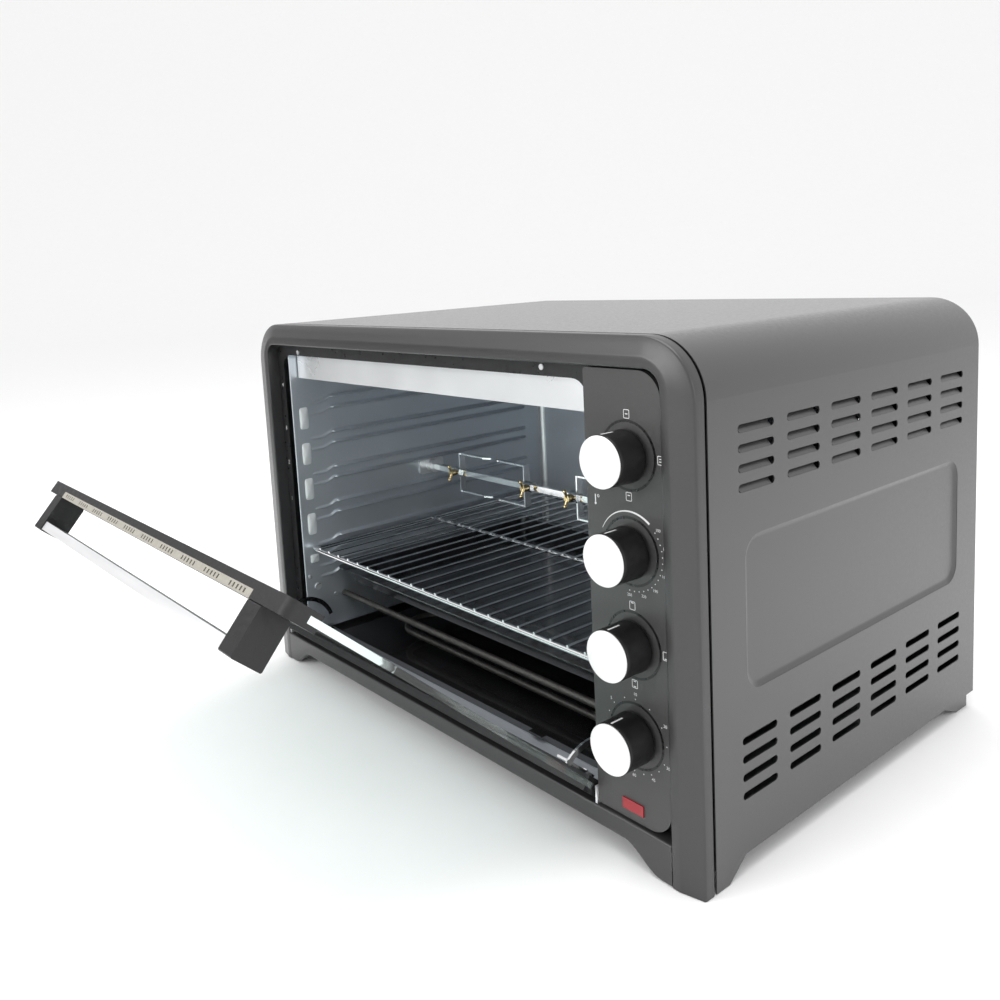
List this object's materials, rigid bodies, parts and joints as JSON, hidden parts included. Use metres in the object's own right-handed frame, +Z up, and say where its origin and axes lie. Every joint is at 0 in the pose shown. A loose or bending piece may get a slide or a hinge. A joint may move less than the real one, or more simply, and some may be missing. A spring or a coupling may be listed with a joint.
{
  "type": "rotisserie oven",
  "caption": "Countertop oven with a drop-down glass door, bar handle, dial column, wire rack, trays and a motor-driven spit with sliding forks.",
  "frame": {"origin": "on the table, under the middle of the whole oven's box with its door half open", "axes": "+X across to the control column, +Y towards the back, +Z up"},
  "size_m": [0.62, 0.7006, 0.396],
  "materials": {
    "dark_paint": "satin dark grey enamel",
    "black_paint": "satin black",
    "panel_black": "satin black print",
    "galvanised": "galvanised sheet, softly mottled",
    "bright_steel": "bright bare sheet",
    "heater_steel": "dull oxidised sheath",
    "ceramic_white": "matt white",
    "tray_enamel": "glossy black enamel",
    "chrome_wire": "polished",
    "motor_body": "pressed steel can",
    "red_lens": "glossy red",
    "door_glass": "clear with a green tint",
    "door_dark": "satin near-black",
    "vent_beige": "matt warm grey",
    "handle_grey": "satin mid grey",
    "handle_silver": "brushed silver strip",
    "black_plastic": "satin black",
    "cap_silver": "turned silver",
    "switch_body": "matt moulded"
  },
  "bodies": {
    "cabinet": {"outer_cover": "dark_paint", "front_frame": "dark_paint", "base_plate": "dark_paint", "rear_panel": "dark_paint", "rear_feet": "dark_paint", "face_plate": "black_paint", "control_panel": "panel_black", "liner_left_wall": "galvanised", "liner_right_wall": "galvanised", "liner_top": "galvanised", "liner_back": "galvanised", "liner_floor": "galvanised", "reflector_strip": "bright_steel", "upper_heater_front": "heater_steel", "upper_heater_rear": "heater_steel", "lower_heater_front": "heater_steel", "lower_heater_rear": "heater_steel", "lower_heater_middle": "heater_steel", "heater_insulators": "ceramic_white", "spit_bearing": "bright_steel", "rotisserie_motor": "motor_body", "indicator_lens": "red_lens", "hinge_brackets": "bright_steel", "cord_gland": "black_plastic", "cover_screws": "chrome_wire", "liner_rivets": "bright_steel", "timer_switch": "switch_body", "lower_heat_switch": "switch_body", "thermostat": "switch_body", "upper_heat_switch": "switch_body"},
    "door": {"door_glass": "door_glass", "door_top_rail": "door_dark", "door_vent_strip": "vent_beige", "door_bottom_rail": "door_dark", "handle_posts": "handle_grey", "handle_bar": "handle_grey", "handle_trim": "handle_silver", "hinge_pins": "chrome_wire", "door_arms": "chrome_wire"},
    "spit": {"spit_shaft": "chrome_wire"},
    "drive": {"drive_socket": "chrome_wire"},
    "rack": {"wire_rack": "chrome_wire"},
    "roasting_tray": {"baking_tray": "tray_enamel"},
    "crumbs": {"crumb_tray": "tray_enamel"},
    "fork_1_on_spit": {"spit_fork_1": "chrome_wire", "fork_screw_1": "chrome_wire"},
    "fork_2_on_spit": {"spit_fork_2": "chrome_wire", "fork_screw_2": "chrome_wire"},
    "fork_3_on_spit": {"spit_fork_3": "chrome_wire", "fork_screw_3": "chrome_wire"},
    "fork_4_on_spit": {"spit_fork_4": "chrome_wire", "fork_screw_4": "chrome_wire"},
    "timer_dial": {"timer_knob": "black_plastic", "timer_knob_cap": "cap_silver"},
    "lower_heat_dial": {"lower_heat_knob": "black_plastic", "lower_heat_knob_cap": "cap_silver"},
    "thermostat_dial": {"thermostat_knob": "black_plastic", "thermostat_knob_cap": "cap_silver"},
    "upper_heat_dial": {"upper_heat_knob": "black_plastic", "upper_heat_knob_cap": "cap_silver"}
  },
  "joints": [
    {"name": "door_hinge", "type": "hinge", "parent": "cabinet", "child": "door", "pos_m": [0, -0.0742, 0.04], "axis": [1, 0, 0], "range_deg": [-49, 38]},
    {"name": "spit_turn", "type": "hinge", "parent": "cabinet", "child": "spit", "pos_m": [0, 0.1233, 0.201], "axis": [1, 0, 0], "continuous": true},
    {"name": "drive_turn", "type": "hinge", "parent": "cabinet", "child": "drive", "pos_m": [0, 0.1233, 0.201], "axis": [1, 0, 0], "continuous": true},
    {"name": "rack_slide", "type": "slide", "parent": "cabinet", "child": "rack", "axis": [0, -1, 0], "range_m": [0, 0.1]},
    {"name": "tray_slide", "type": "slide", "parent": "cabinet", "child": "roasting_tray", "axis": [0, -1, 0], "range_m": [0, 0.085]},
    {"name": "crumb_slide", "type": "slide", "parent": "cabinet", "child": "crumbs", "axis": [0, -1, 0], "range_m": [0, 0.014]},
    {"name": "fork_1_slide", "type": "slide", "parent": "spit", "child": "fork_1_on_spit", "axis": [1, 0, 0], "range_m": [-0.015, 0]},
    {"name": "fork_2_slide", "type": "slide", "parent": "spit", "child": "fork_2_on_spit", "axis": [1, 0, 0], "range_m": [0, 0.015]},
    {"name": "fork_3_slide", "type": "slide", "parent": "spit", "child": "fork_3_on_spit", "axis": [1, 0, 0], "range_m": [-0.015, 0]},
    {"name": "fork_4_slide", "type": "slide", "parent": "spit", "child": "fork_4_on_spit", "axis": [1, 0, 0], "range_m": [0, 0.015]},
    {"name": "timer_turn", "type": "hinge", "parent": "cabinet", "child": "timer_dial", "pos_m": [0.252, -0.1072, 0.1024], "axis": [0, 1, 0], "range_deg": [0, 300]},
    {"name": "lower_heat_turn", "type": "hinge", "parent": "cabinet", "child": "lower_heat_dial", "pos_m": [0.252, -0.1072, 0.172], "axis": [0, 1, 0], "range_deg": [0, 270]},
    {"name": "thermostat_turn", "type": "hinge", "parent": "cabinet", "child": "thermostat_dial", "pos_m": [0.252, -0.1072, 0.2416], "axis": [0, 1, 0], "range_deg": [0, 290]},
    {"name": "upper_heat_turn", "type": "hinge", "parent": "cabinet", "child": "upper_heat_dial", "pos_m": [0.252, -0.1072, 0.3112], "axis": [0, 1, 0], "range_deg": [0, 270]}
  ],
  "couplings": [
    {"joint": "drive_turn", "follows": "spit_turn", "ratio": 1}
  ]
}
